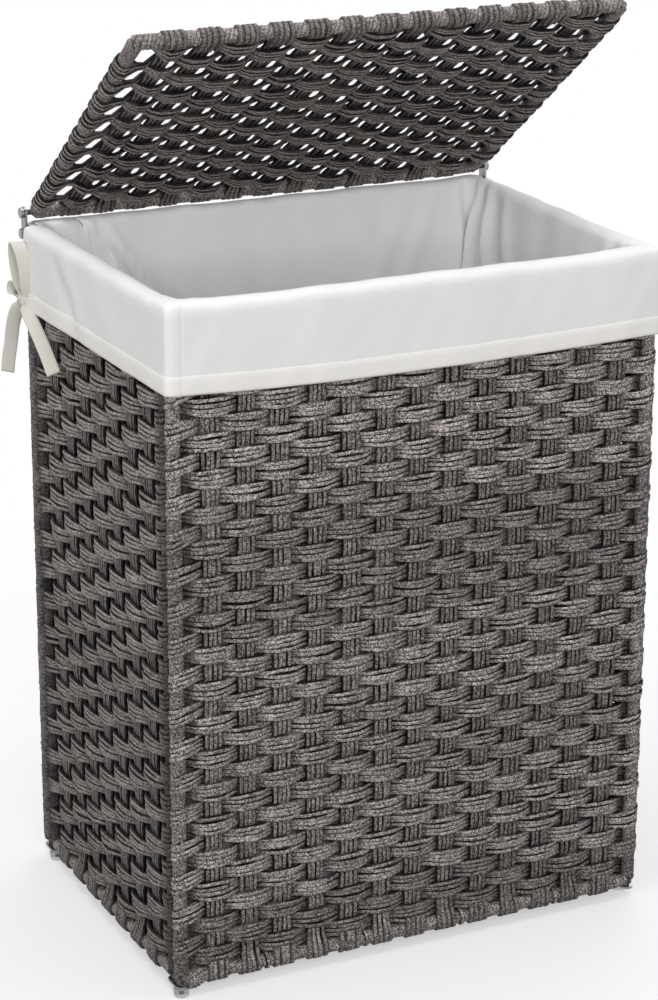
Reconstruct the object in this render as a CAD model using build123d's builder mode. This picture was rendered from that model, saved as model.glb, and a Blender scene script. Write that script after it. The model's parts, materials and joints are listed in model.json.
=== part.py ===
from build123d import *

import os
from dataclasses import dataclass
from math import cos, radians, sin

# Woven laundry hamper with a hinged lid and a cloth liner, standing with the lid part open.
# Millimetres. The origin is on the floor under the middle of the hamper.
# X runs to the right across the front, Y from the front to the back, Z up.

os.makedirs("parts", exist_ok=True)

# Overall size
WIDTH = 460.0             # over the wrapped stiles of the front panel
DEPTH = 327.0             # over the front and back panels
RIM_HEIGHT = 612.0        # floor to the top of the wrapped top rails
FLOOR_GAP = 10.0          # floor to the underside of the wrapped bottom rails
LID_ANGLE = 37.0          # the lid's slope above level, as it stands open

# Wire frames and their wrapping
WIRE = 5.0                # diameter
WRAP = 12.0               # diameter over the wrapping
WIRE_SLIP = 0.2           # radial gap between a wire and its wrapping
WELD_GAP = 0.1            # end of a rail's wire to the stile's wire

# Weave
STAKE_PITCH = 32.0        # across the front, back and lid: aimed at, and evened out over each panel
SIDE_STAKE_PITCH = 36.0   # the same, across the two sides
STAKE_WIDTH = 16.5
STAKE_THICKNESS = 2.8
WEAVER_PITCH = 15.4       # aimed at, and evened out over each panel
WEAVER_HEIGHT = 13.6
WEAVER_THICKNESS = 2.8
WEAVER_LAP = 1.5          # straight run of a weaver past each edge of a stake
STRAND_GAP = 0.3          # between strands, and between strands and wrapping
FIELD_MARGIN = 3.0        # from a rail's wrapping to the first weaver

# Corners
CORNER_GAP = 3.0          # between the wrapped stiles of two neighbouring panels
TAB_WIDTH = 11.0
TAB_THICKNESS = 2.0
TAB_GAP = 0.3             # between a tab and the wrapping or foot beside it
PIN_CLEARANCE = 0.05      # radial, wire in the hole of a tab, foot, strap or cap
FOOT_DIAMETER = 13.5
FOOT_SOLE = 2.5           # plastic under the end of the pin
FOOT_ROUNDING = 1.0

# Base panel and the strands that tie it to the bottom rails
BASE_GAP = 0.5
LASHING_COUNT = 4         # along each long side
LASHING_SPACING = 3       # in stake pitches
LASHING_WIDTH = 5.0
LASHING_THICKNESS = 1.8
LASHING_GAP = 0.3

# Liner
CLOTH = 1.2
CLOTH_GAP = 0.4           # between the cloth and what it lies on
BAG_CORNER = 12.0
CUFF_CORNER = 7.0
CUFF_HEIGHT = 76.0        # from the fold over the rim to the lower edge
HEM_HEIGHT = 17.0
HEM_CLOTH = 1.6
SLIT_MARGIN = 1.5         # room round a hinge strap

# Lid hinge
LID_INSET = 4.0           # each side, from the width of the body
LID_CLEARANCE = 3.0       # between the liner's fold and the closed lid's back rail
STRAP_WIDTH = 11.0
STRAP_THICKNESS = 2.0
STRAP_GAP = 0.5           # from the back panel's side to the strap
CAP_DIAMETER = 9.5
CAP_GAP = 0.3             # from the strap to a cap
CAP_GRIP = 1.8            # length of wire in a cap
CAP_END = 0.9             # cap's closed end

# Bows on the back corners
RIBBON_WIDTH = 12.0
RIBBON_THICKNESS = 1.0
RIBBON_GAP = 0.3
KNOT_LENGTH = 14.0
KNOT_HEIGHT = 13.0
KNOT_DEPTH = 9.0
KNOT_ROUNDING = 3.0
LOOP_LENGTH = 43.0        # the loop that stands up
SHORT_LOOP_LENGTH = 18.0  # the loop that points back
LOOP_DEPTH = 9.0
TAIL_LENGTH = 90.0        # the tail that lies forwards over the side
TAIL_SLOPE = 43.0         # below level
SHORT_TAIL_LENGTH = 68.0  # the tail that hangs

# Heights and levels that follow
wall_height = RIM_HEIGHT - FLOOR_GAP
tab_reach = TAB_GAP + TAB_THICKNESS
foot_height = FLOOR_GAP - tab_reach - TAB_GAP
fold_top = RIM_HEIGHT + tab_reach + TAB_GAP + CLOTH
cuff_bottom = fold_top - CUFF_HEIGHT
hem_top = cuff_bottom + HEM_HEIGHT
rail_height = FLOOR_GAP + WRAP / 2
top_rail_height = RIM_HEIGHT - WRAP / 2

# Plan positions that follow
front_axis = DEPTH / 2 - WRAP / 2
side_axis = WIDTH / 2 - WRAP / 2
corner_spacing = WRAP + CORNER_GAP
side_stile = front_axis - corner_spacing

# The lid turns about the wire of its own back rail, above the back panel's top rail
hinge_y = front_axis
hinge_z = fold_top + LID_CLEARANCE + WRAP / 2
strap_face = WIDTH / 2 + STRAP_GAP
cap_face = strap_face + STRAP_THICKNESS + CAP_GAP
stub_end = cap_face + CAP_GRIP


@dataclass
class Panel:
    """A woven panel. Its plane has its origin in the middle of the lower edge and Y up the panel."""

    name: str
    plane: Plane
    width: float
    height: float
    stake_count: int
    stake_pitch: float

    @property
    def stile_axis(self):
        return self.width / 2 - WRAP / 2

    @property
    def rails(self):
        return (WRAP / 2, self.height - WRAP / 2)


def stakes_for(width, pitch):
    """Number of stakes between the stiles of a panel, and their even pitch, near the pitch aimed at."""
    span = width - WRAP
    spaces = round(span / pitch)
    return spaces - 1, span / spaces


def across(panel, up):
    """Plane square to the stakes, at a distance up the panel."""
    frame = panel.plane
    return Plane(frame.origin + frame.y_dir * up, x_dir=frame.x_dir, z_dir=frame.y_dir)


def along(panel, right):
    """Plane square to the rails, at a distance right of the panel's middle, with X up the panel."""
    frame = panel.plane
    return Plane(frame.origin + frame.x_dir * right, x_dir=frame.y_dir, z_dir=frame.x_dir)


def save(builder, name):
    """Label a finished sub-part and write its file."""
    builder.part.label = name
    export_step(builder.part, f"parts/{name}.step")


def wire_frame(panel, pin_start, stile_start, stile_end, stub_rail=None):
    """Two stiles and two rails of round wire, with stubs past both stiles on a hinged rail."""
    rail_reach = panel.stile_axis - WIRE / 2 - WELD_GAP
    stub_start = panel.stile_axis + WIRE / 2 + WELD_GAP
    with BuildPart() as frame:
        for x, start in ((-panel.stile_axis, pin_start), (panel.stile_axis, stile_start)):
            with BuildSketch(across(panel, start)):
                with Locations((x, 0)):
                    Circle(WIRE / 2)
            extrude(amount=stile_end - start)
        with BuildSketch(along(panel, -rail_reach)):
            with Locations(*[(rail, 0) for rail in panel.rails]):
                Circle(WIRE / 2)
        extrude(amount=2 * rail_reach)
        if stub_rail is not None:
            for start in (stub_start, -stub_end):
                with BuildSketch(along(panel, start)):
                    with Locations((stub_rail, 0)):
                        Circle(WIRE / 2)
                extrude(amount=stub_end - stub_start)
    save(frame, f"{panel.name}_frame")


def wrapping(panel):
    """Strand wound closely round each wire of a frame, as four sleeves."""
    bore = WIRE / 2 + WIRE_SLIP
    rail_reach = panel.stile_axis - WRAP / 2 - STRAND_GAP
    with BuildPart() as wrap:
        with BuildSketch(across(panel, 0)):
            with Locations((-panel.stile_axis, 0), (panel.stile_axis, 0)):
                Circle(WRAP / 2)
                Circle(bore, mode=Mode.SUBTRACT)
        extrude(amount=panel.height)
        # The rails' wires pass through the stiles' wrapping
        with BuildSketch(along(panel, -panel.width / 2)):
            with Locations(*[(rail, 0) for rail in panel.rails]):
                Circle(bore)
        extrude(amount=panel.width, mode=Mode.SUBTRACT)
        with BuildSketch(along(panel, -rail_reach)):
            with Locations(*[(rail, 0) for rail in panel.rails]):
                Circle(WRAP / 2)
                Circle(bore, mode=Mode.SUBTRACT)
        extrude(amount=2 * rail_reach)
    save(wrap, f"{panel.name}_wrap")


def stakes(panel):
    """Flat bundles of strand that run from rail to rail."""
    start = WRAP + STRAND_GAP
    with BuildPart() as bundle:
        with BuildSketch(across(panel, start)):
            with GridLocations(panel.stake_pitch, 1, panel.stake_count, 1):
                Rectangle(STAKE_WIDTH, STAKE_THICKNESS)
        extrude(amount=panel.height - 2 * start)
    save(bundle, f"{panel.name}_stakes")


def weaver_outline(panel, row):
    """Outline, seen along the stakes, of a weaver that passes before and behind them by turns."""
    reach = panel.stile_axis - WRAP / 2 - STRAND_GAP
    swing = STAKE_THICKNESS / 2 + WEAVER_THICKNESS / 2 + STRAND_GAP
    half_run = STAKE_WIDTH / 2 + WEAVER_LAP
    line = [(-reach, 0)]
    for index in range(panel.stake_count):
        middle = (index - (panel.stake_count - 1) / 2) * panel.stake_pitch
        side = swing if (index + row) % 2 else -swing
        line += [(middle - half_run, side), (middle + half_run, side)]
    line.append((reach, 0))
    outer = [(x, y - WEAVER_THICKNESS / 2) for x, y in line]
    inner = [(x, y + WEAVER_THICKNESS / 2) for x, y in reversed(line)]
    return outer + inner


def weavers(panel):
    """Flat bundles of strand woven over and under the stakes, row above row."""
    start = WRAP + FIELD_MARGIN
    field = panel.height - 2 * start
    rows = round(field / WEAVER_PITCH)
    pitch = field / rows
    with BuildPart() as rows_of_strand:
        for row in range(rows):
            with BuildSketch(across(panel, start + row * pitch + (pitch - WEAVER_HEIGHT) / 2)):
                with BuildLine():
                    Polyline(*weaver_outline(panel, row), close=True)
                make_face()
        extrude(amount=WEAVER_HEIGHT)
    save(rows_of_strand, f"{panel.name}_weavers")


# Four wall panels: the front and back are as wide as the hamper, the sides stand between them
front_stakes = stakes_for(WIDTH, STAKE_PITCH)
side_width = 2 * side_stile + WRAP
side_stakes = stakes_for(side_width, SIDE_STAKE_PITCH)
walls = [
    Panel("front", Plane((0, -front_axis, FLOOR_GAP), (1, 0, 0), (0, -1, 0)), WIDTH, wall_height, *front_stakes),
    Panel("back", Plane((0, front_axis, FLOOR_GAP), (-1, 0, 0), (0, 1, 0)), WIDTH, wall_height, *front_stakes),
    Panel("left", Plane((-side_axis, 0, FLOOR_GAP), (0, -1, 0), (-1, 0, 0)), side_width, wall_height, *side_stakes),
    Panel("right", Plane((side_axis, 0, FLOOR_GAP), (0, 1, 0), (1, 0, 0)), side_width, wall_height, *side_stakes),
]
for wall in walls:
    wire_frame(
        wall,
        pin_start=FOOT_SOLE - FLOOR_GAP,
        stile_start=-tab_reach,
        stile_end=wall_height + tab_reach,
        stub_rail=wall.rails[1] if wall.name == "back" else None,
    )

# The base lies level with the bottom rails, its stakes in line with those of the front
base_width = WIDTH - 2 * WRAP - 2 * BASE_GAP
base_depth = DEPTH - 2 * WRAP - 2 * BASE_GAP
base_plane = Plane((0, -base_depth / 2, rail_height), (1, 0, 0), (0, 0, 1))
base = Panel("base", base_plane, base_width, base_depth, *front_stakes)

# The lid's lower edge is its hinge edge
lid_width = WIDTH - 2 * LID_INSET
slope = radians(LID_ANGLE)
lid_up = Vector(0, -cos(slope), sin(slope))
lid_normal = Vector(1, 0, 0).cross(lid_up)
lid_origin = Vector(0, hinge_y, hinge_z) - lid_up * (WRAP / 2)
lid_stakes = stakes_for(lid_width, STAKE_PITCH)
lid = Panel("lid", Plane(lid_origin, (1, 0, 0), lid_normal), lid_width, DEPTH, *lid_stakes)

wire_end = WRAP / 2 - WIRE / 2
wire_frame(base, wire_end, wire_end, base_depth - wire_end)
wire_frame(lid, wire_end, wire_end, DEPTH - wire_end, stub_rail=lid.rails[0])

for panel in (*walls, base, lid):
    wrapping(panel)
    stakes(panel)
    weavers(panel)

# Steel tabs hold each pair of neighbouring stiles together, at the foot and at the rim
with BuildPart() as corner_tabs:
    for level in (FLOOR_GAP - tab_reach, RIM_HEIGHT + TAB_GAP):
        with BuildSketch(Plane.XY.offset(level)):
            with GridLocations(2 * side_axis, front_axis + side_stile, 2, 2):
                SlotCenterToCenter(corner_spacing, TAB_WIDTH, rotation=90)
            for y in (front_axis, side_stile):
                with GridLocations(2 * side_axis, 2 * y, 2, 2):
                    Circle(WIRE / 2 + PIN_CLEARANCE, mode=Mode.SUBTRACT)
        extrude(amount=TAB_THICKNESS)
save(corner_tabs, "corner_tabs")

# Clear plastic feet on the pins, one under the left stile of each wall seen from outside
pins = [
    (-side_axis, -front_axis),
    (side_axis, -side_stile),
    (side_axis, front_axis),
    (-side_axis, side_stile),
]
with BuildPart() as foot_caps:
    with BuildSketch(Plane.XY):
        with Locations(*pins):
            Circle(FOOT_DIAMETER / 2)
    extrude(amount=foot_height)
    fillet(foot_caps.edges().group_by(Axis.Z)[0], FOOT_ROUNDING)
    with BuildSketch(Plane.XY.offset(FOOT_SOLE)):
        with Locations(*pins):
            Circle(WIRE / 2 + PIN_CLEARANCE)
    extrude(amount=foot_height - FOOT_SOLE, mode=Mode.SUBTRACT)
save(foot_caps, "foot_caps")

# Strand tied round the base's rail and the wall's bottom rail, between the stakes
base_axis = base_depth / 2 - WRAP / 2
lashing_pitch = LASHING_SPACING * base.stake_pitch
lashing_start = -lashing_pitch * (LASHING_COUNT - 1) / 2 - LASHING_WIDTH / 2
with BuildPart() as base_lashings:
    for index in range(LASHING_COUNT):
        with BuildSketch(Plane.YZ.offset(lashing_start + index * lashing_pitch)):
            with Locations(*[(end * (front_axis + base_axis) / 2, rail_height) for end in (-1, 1)]):
                inside = WRAP + 2 * LASHING_GAP
                SlotCenterToCenter(front_axis - base_axis, inside + 2 * LASHING_THICKNESS)
                SlotCenterToCenter(front_axis - base_axis, inside, mode=Mode.SUBTRACT)
    extrude(amount=LASHING_WIDTH)
save(base_lashings, "base_lashings")

# Liner: a bag inside the walls, folded over the rim and turned down outside as a cuff
bag_width = WIDTH - 2 * WRAP - 2 * CLOTH_GAP
bag_depth = DEPTH - 2 * WRAP - 2 * CLOTH_GAP
bag_floor = FLOOR_GAP + WRAP + LASHING_GAP + LASHING_THICKNESS + CLOTH_GAP
cuff_width = WIDTH + 2 * CLOTH_GAP
cuff_depth = DEPTH + 2 * CLOTH_GAP

# Both back corners of the cuff are slit for the hinge straps
slit_front = hinge_y - STRAP_WIDTH / 2 - SLIT_MARGIN
slit_length = cuff_depth / 2 + HEM_CLOTH - slit_front
slit_width = WRAP + CLOTH_GAP + HEM_CLOTH
slits = [(side * (WIDTH / 2 - WRAP + slit_width / 2), slit_front + slit_length / 2) for side in (-1, 1)]

with BuildPart() as liner_bag:
    with BuildSketch(Plane.XY.offset(bag_floor)):
        RectangleRounded(bag_width, bag_depth, BAG_CORNER)
    extrude(amount=fold_top - CLOTH - bag_floor)
    with BuildSketch(Plane.XY.offset(fold_top - CLOTH)):
        RectangleRounded(cuff_width + 2 * CLOTH, cuff_depth + 2 * CLOTH, CUFF_CORNER + CLOTH)
    extrude(amount=CLOTH)
    with BuildSketch(Plane.XY.offset(hem_top)):
        RectangleRounded(cuff_width + 2 * CLOTH, cuff_depth + 2 * CLOTH, CUFF_CORNER + CLOTH)
        RectangleRounded(cuff_width, cuff_depth, CUFF_CORNER, mode=Mode.SUBTRACT)
    extrude(amount=fold_top - hem_top)
    with BuildSketch(Plane.XY.offset(bag_floor + CLOTH)):
        RectangleRounded(bag_width - 2 * CLOTH, bag_depth - 2 * CLOTH, BAG_CORNER - CLOTH)
    extrude(amount=fold_top - bag_floor, mode=Mode.SUBTRACT)
    with BuildSketch(Plane.XY.offset(cuff_bottom)):
        with Locations(*slits):
            Rectangle(slit_width, slit_length)
    extrude(amount=CUFF_HEIGHT, mode=Mode.SUBTRACT)
save(liner_bag, "liner_bag")

with BuildPart() as liner_hem:
    with BuildSketch(Plane.XY.offset(cuff_bottom)):
        RectangleRounded(cuff_width + 2 * HEM_CLOTH, cuff_depth + 2 * HEM_CLOTH, CUFF_CORNER + HEM_CLOTH)
        RectangleRounded(cuff_width, cuff_depth, CUFF_CORNER, mode=Mode.SUBTRACT)
        with Locations(*slits):
            Rectangle(slit_width, slit_length, mode=Mode.SUBTRACT)
    extrude(amount=HEM_HEIGHT)
save(liner_hem, "liner_hem")

# Steel straps carry the lid's wire above the back panel's top rail
for side, name in ((-1, "left"), (1, "right")):
    with BuildPart() as hinge_strap:
        with BuildSketch(Plane.YZ.offset(side * strap_face)):
            with Locations((hinge_y, (top_rail_height + hinge_z) / 2)):
                SlotCenterToCenter(hinge_z - top_rail_height, STRAP_WIDTH, rotation=90)
            with Locations((hinge_y, top_rail_height), (hinge_y, hinge_z)):
                Circle(WIRE / 2 + PIN_CLEARANCE, mode=Mode.SUBTRACT)
        extrude(amount=side * STRAP_THICKNESS)
    save(hinge_strap, f"hinge_strap_{name}")

# Push-on caps keep the straps on the wires
for height, name in ((top_rail_height, "strap_caps"), (hinge_z, "lid_pin_caps")):
    with BuildPart() as caps:
        for side in (-1, 1):
            with BuildSketch(Plane.YZ.offset(side * cap_face)):
                with Locations((hinge_y, height)):
                    Circle(CAP_DIAMETER / 2)
            extrude(amount=side * (CAP_GRIP + CAP_END))
            with BuildSketch(Plane.YZ.offset(side * cap_face)):
                with Locations((hinge_y, height)):
                    Circle(WIRE / 2 + PIN_CLEARANCE)
            extrude(amount=side * CAP_GRIP, mode=Mode.SUBTRACT)
    save(caps, name)

# Bows tied over the slits, on the hem of each side
bow_face = cuff_width / 2 + HEM_CLOTH + RIBBON_GAP
bow_y = slit_front - KNOT_LENGTH / 2 + SLIT_MARGIN
bow_z = cuff_bottom + HEM_HEIGHT / 2
loop_middle = bow_face + LOOP_DEPTH / 2
loop_inside = LOOP_DEPTH - 2 * RIBBON_THICKNESS
for side, name in ((-1, "left"), (1, "right")):
    with BuildPart() as bow_knot:
        with BuildSketch(Plane.YZ.offset(side * bow_face)):
            with Locations((bow_y, bow_z)):
                RectangleRounded(KNOT_LENGTH, KNOT_HEIGHT, KNOT_ROUNDING)
        extrude(amount=side * KNOT_DEPTH)
        outer_face = bow_knot.faces().sort_by(Axis.X)[0 if side < 0 else -1]
        fillet(outer_face.edges(), KNOT_ROUNDING)
    save(bow_knot, f"bow_knot_{name}")

    with BuildPart() as bow_loops:
        loop_z = bow_z + KNOT_HEIGHT / 2 + RIBBON_GAP + LOOP_LENGTH / 2
        with BuildSketch(Plane.XZ.offset(-bow_y - RIBBON_WIDTH / 2)):
            with Locations((side * loop_middle, loop_z)):
                SlotOverall(LOOP_LENGTH, LOOP_DEPTH, rotation=90)
                SlotOverall(LOOP_LENGTH - 2 * RIBBON_THICKNESS, loop_inside, rotation=90, mode=Mode.SUBTRACT)
        extrude(amount=RIBBON_WIDTH)
        loop_y = bow_y + KNOT_LENGTH / 2 + RIBBON_GAP + SHORT_LOOP_LENGTH / 2
        with BuildSketch(Plane.XY.offset(bow_z - RIBBON_WIDTH / 2)):
            with Locations((side * loop_middle, loop_y)):
                SlotOverall(SHORT_LOOP_LENGTH, LOOP_DEPTH, rotation=90)
                SlotOverall(
                    SHORT_LOOP_LENGTH - 2 * RIBBON_THICKNESS, loop_inside, rotation=90, mode=Mode.SUBTRACT
                )
        extrude(amount=RIBBON_WIDTH)
    save(bow_loops, f"bow_loops_{name}")

    tail_slope = radians(TAIL_SLOPE)
    tail_start = KNOT_LENGTH / 2 + RIBBON_WIDTH / 2
    tail_middle = tail_start + TAIL_LENGTH / 2
    hanging_top = bow_z - KNOT_HEIGHT / 2 - RIBBON_GAP
    with BuildPart() as bow_tails:
        with BuildSketch(Plane.YZ.offset(side * bow_face)):
            with Locations((bow_y - tail_middle * cos(tail_slope), bow_z - tail_middle * sin(tail_slope))):
                Rectangle(TAIL_LENGTH, RIBBON_WIDTH, rotation=TAIL_SLOPE)
            with Locations((bow_y + KNOT_LENGTH / 2 - RIBBON_WIDTH / 2, hanging_top - SHORT_TAIL_LENGTH / 2)):
                Rectangle(RIBBON_WIDTH, SHORT_TAIL_LENGTH)
        extrude(amount=side * RIBBON_THICKNESS)
    save(bow_tails, f"bow_tails_{name}")
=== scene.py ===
import json
from dataclasses import dataclass
from math import cos, pi, radians, sin

import bpy
import numpy as np
from mathutils import Matrix, Vector


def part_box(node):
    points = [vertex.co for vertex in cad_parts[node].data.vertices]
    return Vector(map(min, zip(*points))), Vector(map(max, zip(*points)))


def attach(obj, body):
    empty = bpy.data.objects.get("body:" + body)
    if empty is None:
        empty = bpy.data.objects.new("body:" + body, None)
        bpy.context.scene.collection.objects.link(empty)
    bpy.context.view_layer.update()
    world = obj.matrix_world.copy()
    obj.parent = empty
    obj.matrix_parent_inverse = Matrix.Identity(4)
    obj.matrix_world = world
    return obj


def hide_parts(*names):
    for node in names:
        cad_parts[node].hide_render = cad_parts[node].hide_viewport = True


# The looks of a woven laundry hamper with a hinged lid, a cloth liner and tied bows.
# Metres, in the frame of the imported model: X to the right, Y to the back, Z up.

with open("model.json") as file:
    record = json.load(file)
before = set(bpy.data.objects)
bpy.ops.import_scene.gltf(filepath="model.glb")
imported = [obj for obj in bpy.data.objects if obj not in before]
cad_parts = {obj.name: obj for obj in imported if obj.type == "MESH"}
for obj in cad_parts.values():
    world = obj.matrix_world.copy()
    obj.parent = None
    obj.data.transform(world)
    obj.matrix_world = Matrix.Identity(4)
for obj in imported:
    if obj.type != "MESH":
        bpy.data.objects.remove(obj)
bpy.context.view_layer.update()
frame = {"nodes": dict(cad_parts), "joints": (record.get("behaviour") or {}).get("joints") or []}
random = np.random.default_rng(11)
MM = 0.001

# Strand and weave
STRAND = 4.2 * MM  # diameter where it lies loose
STRAND_WIDTH = 5.4 * MM  # where it is pressed flat in a bundle
STRAND_THICKNESS = 3.8 * MM
STRANDS = 4  # side by side in a bundle
SIDES = 6  # of a strand's section
TWIST = 4.2 * MM  # length of one turn of a strand's fibres
RIM = 6 * MM  # from a panel's edge to the middle of its wire
FIELD_MARGIN = 15 * MM  # from a panel's edge to the first weaver
ROW_PITCH = 15.4 * MM  # aimed at, and evened out over each panel
SWING_OUT = 4.2 * MM  # of a weaver before a stake
SWING_IN = 3.6 * MM  # of a weaver behind a stake
FLOAT_SPREAD = 4.05 * MM  # strand to strand in the middle of a float
CROWN = 0.16 * MM  # fall of a float's outer strands, for each place squared
STAKE_SPREAD = 4.15 * MM
STAKE_SWING = 0.9 * MM
STAKE_SWAY = 0.7 * MM  # of a whole stake to the sides
STAKE_STRAY = 0.45 * MM  # of each of its strands
STAKE_STRAY_OUT = 0.25 * MM
TURN_DRIFT = 0.12  # from a row's middle where it turns round a stile, in rows
LOOP_SPREAD = 5 * MM  # of a stake's strands round a rail
LOOP_START = 13 * MM  # from a rail's middle, where a stake begins to bend
LOOP_OUT = 1.5 * MM  # out of the panel there
LOOP_BACK = 5.5 * MM  # behind the panel where the loop ends
PLY_OUT = 0.55 * MM  # of every second strand between stakes
PLY_IN = 0.35 * MM  # of the others
DEEP_START = 0.5 * MM  # depth from which a strand gets painted shade, deep in the weave
DEEP_REACH = 2.8 * MM
SWAY = 0.45 * MM  # of a whole weaver up and down
STRAY_UP = 0.70 * MM  # of each of its strands
STRAY_OUT = 0.45 * MM
TONE_SPREAD = 0.06  # from strand to strand
PINCH_PLACE = 13 * MM  # from the left stile, where weavers are drawn together
PINCH_WIDTH = 8 * MM
HIDDEN_SHADE = 0.65  # painted shade behind the next panel's stile, as a loss of tone
HIDDEN_WIDTH = 16 * MM
REAR_SHADE = 0.7  # and painted shade at the other end of such a panel
REAR_WIDTH = 9 * MM
WINDING_PITCH = 3.7 * MM  # turn to turn along the wire
WINDING_LEAN = 3.4 * MM  # of a turn along the wire
WINDING_CORNER = 4 * MM  # radius round a frame's corners
WINDING_SLACK = 0.28 * MM  # of the radius over several turns
WINDING_STRAY = 0.14 * MM  # and within each turn
RAIL_TONE = 0.88  # of the strand wound on the rails
COIL_PLACE = 9 * MM  # of a thicker coil, from the left stile
COIL_WIDTH = 8 * MM

# Liner
CLOTH_EASE = 1.3 * MM  # from the cloth's solid to the cloth, clear of the strands
BAG_CORNER = 12 * MM
CUFF_CORNER = 4.5 * MM
BAG_HANG = 8 * MM  # the bag hangs this far in from the walls
CORNER_PULL = 8 * MM  # and this much further at its corners
FOLD_START = 606 * MM  # height at which the cloth turns over the rail
SLIT_FRONT = 150.5 * MM  # the side cuffs end here
SLIT_SIDE = 226 * MM  # the back cuff ends here
HEM_HEIGHT = 17 * MM
HEM_CLOTH = 1.6 * MM  # thickness of the hem's solid
HEM_LAP = 0.55 * MM
TAPE_THICKNESS = 0.4 * MM
CUFF_SAG = 4 * MM  # of the cuff's lower edge in the middle of the front
CORNER_LIFT = 1.5 * MM  # of that edge at the front left corner
CUFF_GAP = 0.6 * MM  # by which the cuff stands off
SIDE_SWELL = 3 * MM  # of the side cuffs towards the back
SEAM_WIDTH = 1.1 * MM  # of the front cuff's seam, and the lip beside it
SEAM_DEPTH = 0.3 * MM
LIP_PLACE = 3.2 * MM
LIP_WIDTH = 2 * MM
LIP_HEIGHT = 0.25 * MM
RIM_WAVE = 0.8 * MM  # of the fold, up and down along the rim
CUFF_RIPPLE = 0.3  # the share of those waves that the cuff follows
PUCKER = 0.35 * MM  # small gathers of the fold before the corners
PUCKER_PLACE = -16 * MM
PUCKER_WIDTH = 12 * MM
FLOOR_DENT = 1.2 * MM
HEM_INSIDE = 6 * MM  # of the tape behind the cuff
BAG_ROWS = 52  # of points up the bag, over the fold and down the cuff
FOLD_ROWS = 9
CREST_ROW = 4  # of the fold, past which the slits are open
CUFF_ROWS = 16
CLOTH_THICKNESS = 0.7 * MM
RIBBON_WIDTH = 12.5 * MM
RIBBON_THICKNESS = 1.7 * MM

# Lid and camera
LID_ANGLE = radians(37)
CAMERA_AZIMUTH = radians(-25.96)
CAMERA_ELEVATION = radians(18.73)
CAMERA_ROLL = radians(0.16)
CAMERA_DISTANCE = 2.635
CAMERA_AIM = Vector((0, 0, 0.3))
CAMERA_SHIFT = (6.1 * MM, -66.7 * MM)  # the aim's place right of and above the picture's middle
FOCAL_PIXELS = 2900
PICTURE_HEIGHT = 1000
SENSOR = 36.0


# Mesh helpers


def unit(vectors):
    """Vectors scaled to length one."""
    return vectors / np.linalg.norm(vectors, axis=-1, keepdims=True)


def smooth_line(points, steps):
    """Points on a smooth line through the given ones, with steps between each two."""
    points = np.asarray(points, float)
    ends = np.vstack([2 * points[0] - points[1], points, 2 * points[-1] - points[-2]])
    t = (np.arange(steps) / steps)[:, None]
    line = []
    for a, b, c, d in zip(ends, ends[1:], ends[2:], ends[3:]):
        curve = 2 * b + (c - a) * t + (2 * a - 5 * b + 4 * c - d) * t**2 + (3 * b - a - 3 * c + d) * t**3
        line.append(curve / 2)
    return np.vstack(line + [points[-1:]])


def soft_noise(count, step, size, source):
    """Random values that change smoothly along count places, with a new one every few places."""
    knots = source.normal(0, size, count // step + 3)
    places = np.arange(count) / step
    return np.interp(places, np.arange(len(knots)), knots)


def ridge(place, middle, width):
    """A smooth ridge of height one across a line."""
    return np.exp(-((place - middle) / width) ** 2)


def mesh_of(name, points, quads):
    """A smooth-shaded mesh object of four-cornered faces."""
    mesh = bpy.data.meshes.new(name)
    mesh.vertices.add(len(points))
    mesh.vertices.foreach_set("co", np.asarray(points, np.float32).ravel())
    mesh.loops.add(quads.size)
    mesh.loops.foreach_set("vertex_index", quads.astype(np.int32).ravel())
    mesh.polygons.add(len(quads))
    mesh.polygons.foreach_set("loop_start", np.arange(0, quads.size, 4, dtype=np.int32))
    mesh.polygons.foreach_set("use_smooth", np.ones(len(quads), bool))
    mesh.update(calc_edges=True)
    mesh.validate()
    piece = bpy.data.objects.new(name, mesh)
    bpy.context.scene.collection.objects.link(piece)
    return piece


def tube_quads(rings, sides):
    """Faces between rings of points, by ring and side."""
    ring, side = np.meshgrid(np.arange(rings - 1), np.arange(sides), indexing="ij")
    after = (side + 1) % sides
    here = [ring * sides + side, ring * sides + after]
    there = [(ring + 1) * sides + after, (ring + 1) * sides + side]
    return np.stack(here + there, -1)


def finish_piece(piece, body, slot, material, *nodes):
    """Give a piece its material and body, and let it stand for its solids; the slot is not used."""
    piece.data.materials.append(material)
    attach(piece, body)
    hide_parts(*nodes)
    return piece


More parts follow.
